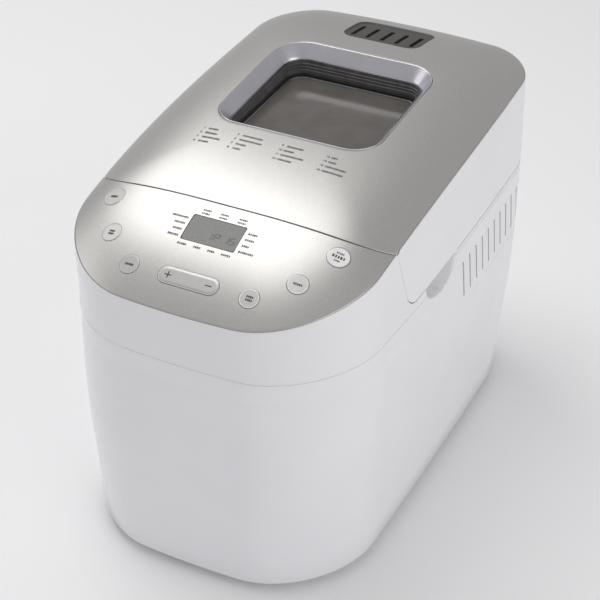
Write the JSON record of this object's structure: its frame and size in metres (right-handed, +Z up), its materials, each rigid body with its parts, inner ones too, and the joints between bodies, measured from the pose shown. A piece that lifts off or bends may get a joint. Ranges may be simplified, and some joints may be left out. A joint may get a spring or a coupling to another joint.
{
  "type": "bread machine",
  "caption": "Countertop bread machine with domed silver top, viewing window, curved keypad, rear-hinged lid and a removable non-stick pan with two kneading paddles.",
  "frame": {"origin": "on the surface the machine stands on, under the middle of its bounding box", "axes": "+X to the machine's right side seen from the keypad, +Y to the hinge side at the back, +Z up"},
  "size_m": [0.2742, 0.4474, 0.327],
  "materials": {
    "base_plate": "smooth gloss",
    "bearing_front": "sintered",
    "bearing_rear": "sintered",
    "bread_pan": "non-stick coating",
    "bushing_plate": "sintered",
    "color_key": "satin, silver tint",
    "control_board": "solder mask",
    "control_panel": "fine metallic paint, satin",
    "cord_gland": "matte",
    "cross_belt": "matte",
    "display_lens": "clear gloss",
    "display_module": "matte",
    "dough_key": "satin, silver tint",
    "drive_chassis": "plain sheet or drawn",
    "drive_pulley_front": "matte",
    "drive_pulley_rear": "matte",
    "drive_shaft_front": "plain sheet or drawn",
    "drive_shaft_rear": "plain sheet or drawn",
    "element_terminal_block": "glazed ceramic",
    "foot_front_left": "matte",
    "foot_front_right": "matte",
    "foot_rear_left": "matte",
    "foot_rear_right": "matte",
    "heating_element": "dark oxidised steel sheath",
    "hinge_bracket_left": "smooth gloss",
    "hinge_bracket_right": "smooth gloss",
    "hinge_pin_left": "plain sheet or drawn",
    "hinge_pin_right": "plain sheet or drawn",
    "home_made_key": "satin, silver tint",
    "inner_glass": "clear",
    "kneading_paddle_front": "non-stick coating",
    "kneading_paddle_rear": "non-stick coating",
    "lid_cover": "fine metallic paint, satin",
    "lid_liner": "plain sheet or drawn",
    "lid_seal": "matte",
    "lid_skirt": "smooth gloss",
    "loaf_size_key": "satin, silver tint",
    "lower_coupling_front": "plain sheet or drawn",
    "lower_coupling_rear": "plain sheet or drawn",
    "menu_key": "satin, silver tint",
    "motor": "plain sheet or drawn",
    "motor_belt": "matte",
    "motor_pulley": "plain sheet or drawn",
    "outer_glass": "clear",
    "outer_housing": "smooth gloss",
    "oven_chamber": "plain sheet or drawn",
    "pan_base_ring": "plain cast or pressed",
    "pan_clip": "plain sheet or drawn",
    "pan_handle": "plain sheet or drawn",
    "pan_shaft_front": "plain sheet or drawn",
    "pan_shaft_rear": "plain sheet or drawn",
    "plus_minus_rocker": "satin, silver tint",
    "power_board": "solder mask",
    "start_stop_key": "satin, silver tint",
    "temperature_probe": "plain sheet or drawn",
    "thermal_fuse": "glazed ceramic",
    "top_collar": "smooth gloss",
    "vent_grille": "matte",
    "window_bezel": "satin metallised moulding",
    "window_gasket": "matte"
  },
  "bodies": {
    "root": {"outer_housing": "outer_housing", "top_collar": "top_collar", "control_panel": "control_panel", "display_lens": "display_lens", "display_module": "display_module", "control_board": "control_board", "power_board": "power_board", "base_plate": "base_plate", "foot_front_left": "foot_front_left", "foot_front_right": "foot_front_right", "foot_rear_left": "foot_rear_left", "foot_rear_right": "foot_rear_right", "cord_gland": "cord_gland", "hinge_bracket_left": "hinge_bracket_left", "hinge_bracket_right": "hinge_bracket_right", "oven_chamber": "oven_chamber", "heating_element": "heating_element", "element_terminal_block": "element_terminal_block", "temperature_probe": "temperature_probe", "thermal_fuse": "thermal_fuse", "pan_clip": "pan_clip", "drive_chassis": "drive_chassis", "motor": "motor", "bearing_front": "bearing_front", "bearing_rear": "bearing_rear", "motor_belt": "motor_belt", "cross_belt": "cross_belt"},
    "lid": {"lid_cover": "lid_cover", "lid_skirt": "lid_skirt", "lid_liner": "lid_liner", "window_bezel": "window_bezel", "window_gasket": "window_gasket", "outer_glass": "outer_glass", "inner_glass": "inner_glass", "vent_grille": "vent_grille", "lid_seal": "lid_seal", "hinge_pin_left": "hinge_pin_left", "hinge_pin_right": "hinge_pin_right"},
    "menu_key": {"menu_key": "menu_key"},
    "loaf_size_key": {"loaf_size_key": "loaf_size_key"},
    "dough_key": {"dough_key": "dough_key"},
    "home_made_key": {"home_made_key": "home_made_key"},
    "color_key": {"color_key": "color_key"},
    "start_stop_key": {"start_stop_key": "start_stop_key"},
    "rocker": {"plus_minus_rocker": "plus_minus_rocker"},
    "pan": {"bread_pan": "bread_pan", "pan_base_ring": "pan_base_ring", "bushing_plate": "bushing_plate"},
    "handle": {"pan_handle": "pan_handle"},
    "paddle_front": {"kneading_paddle_front": "kneading_paddle_front", "pan_shaft_front": "pan_shaft_front"},
    "paddle_rear": {"kneading_paddle_rear": "kneading_paddle_rear", "pan_shaft_rear": "pan_shaft_rear"},
    "drive_front": {"drive_shaft_front": "drive_shaft_front", "drive_pulley_front": "drive_pulley_front", "lower_coupling_front": "lower_coupling_front"},
    "drive_rear": {"drive_shaft_rear": "drive_shaft_rear", "drive_pulley_rear": "drive_pulley_rear", "lower_coupling_rear": "lower_coupling_rear"},
    "motor_rotor": {"motor_pulley": "motor_pulley"}
  },
  "joints": [
    {"name": "lid_hinge", "type": "hinge", "parent": "root", "child": "lid", "pos_m": [0, 0.2187, 0.222], "axis": [-1, 0, 0], "range_deg": [0, 75]},
    {"name": "menu_press", "type": "slide", "parent": "root", "child": "menu_key", "axis": [0.2566, 0.2954, -0.9203], "range_m": [0, 0.0008], "stiffness_N_per_m": 1500, "springref_m": -0.0002},
    {"name": "loaf_size_press", "type": "slide", "parent": "root", "child": "loaf_size_key", "axis": [0.1785, 0.4106, -0.8942], "range_m": [0, 0.0008], "stiffness_N_per_m": 1500, "springref_m": -0.0002},
    {"name": "dough_press", "type": "slide", "parent": "root", "child": "dough_key", "axis": [0.0595, 0.4994, -0.8643], "range_m": [0, 0.0008], "stiffness_N_per_m": 1500, "springref_m": -0.0002},
    {"name": "home_made_press", "type": "slide", "parent": "root", "child": "home_made_key", "axis": [-0.0595, 0.4994, -0.8643], "range_m": [0, 0.0008], "stiffness_N_per_m": 1500, "springref_m": -0.0002},
    {"name": "color_press", "type": "slide", "parent": "root", "child": "color_key", "axis": [-0.1785, 0.4106, -0.8942], "range_m": [0, 0.0008], "stiffness_N_per_m": 1500, "springref_m": -0.0002},
    {"name": "start_stop_press", "type": "slide", "parent": "root", "child": "start_stop_key", "axis": [-0.2566, 0.2954, -0.9203], "range_m": [0, 0.0008], "stiffness_N_per_m": 1500, "springref_m": -0.0002},
    {"name": "rocker_tilt", "type": "hinge", "parent": "root", "child": "rocker", "pos_m": [0, -0.1937, 0.28203], "axis": [0, 0.8651, 0.5017], "range_deg": [-1.5, 1.5], "stiffness_Nm_per_rad": 0.6},
    {"name": "pan_lift", "type": "slide", "parent": "root", "child": "pan", "axis": [0, 0, 1], "range_m": [0, 0.045]},
    {"name": "handle_swing", "type": "hinge", "parent": "pan", "child": "handle", "pos_m": [0, 0.06, 0.2055], "axis": [1, 0, 0], "range_deg": [0, 180]},
    {"name": "front_drive_spin", "type": "hinge", "parent": "root", "child": "drive_front", "pos_m": [0, 0.014, 0.0128], "axis": [0, 0, 1], "continuous": true},
    {"name": "front_paddle_spin", "type": "hinge", "parent": "pan", "child": "paddle_front", "pos_m": [0, 0.014, 0.064], "axis": [0, 0, 1], "continuous": true},
    {"name": "rear_drive_spin", "type": "hinge", "parent": "root", "child": "drive_rear", "pos_m": [0, 0.106, 0.0128], "axis": [0, 0, 1], "continuous": true},
    {"name": "rear_paddle_spin", "type": "hinge", "parent": "pan", "child": "paddle_rear", "pos_m": [0, 0.106, 0.064], "axis": [0, 0, 1], "continuous": true},
    {"name": "motor_spin", "type": "hinge", "parent": "root", "child": "motor_rotor", "pos_m": [0, -0.15, 0.0128], "axis": [0, 0, 1], "continuous": true}
  ],
  "couplings": [
    {"joint": "rear_drive_spin", "follows": "front_drive_spin", "ratio": 1},
    {"joint": "front_paddle_spin", "follows": "front_drive_spin", "ratio": 1},
    {"joint": "rear_paddle_spin", "follows": "front_drive_spin", "ratio": 1},
    {"joint": "motor_spin", "follows": "front_drive_spin", "ratio": 4.2857}
  ]
}
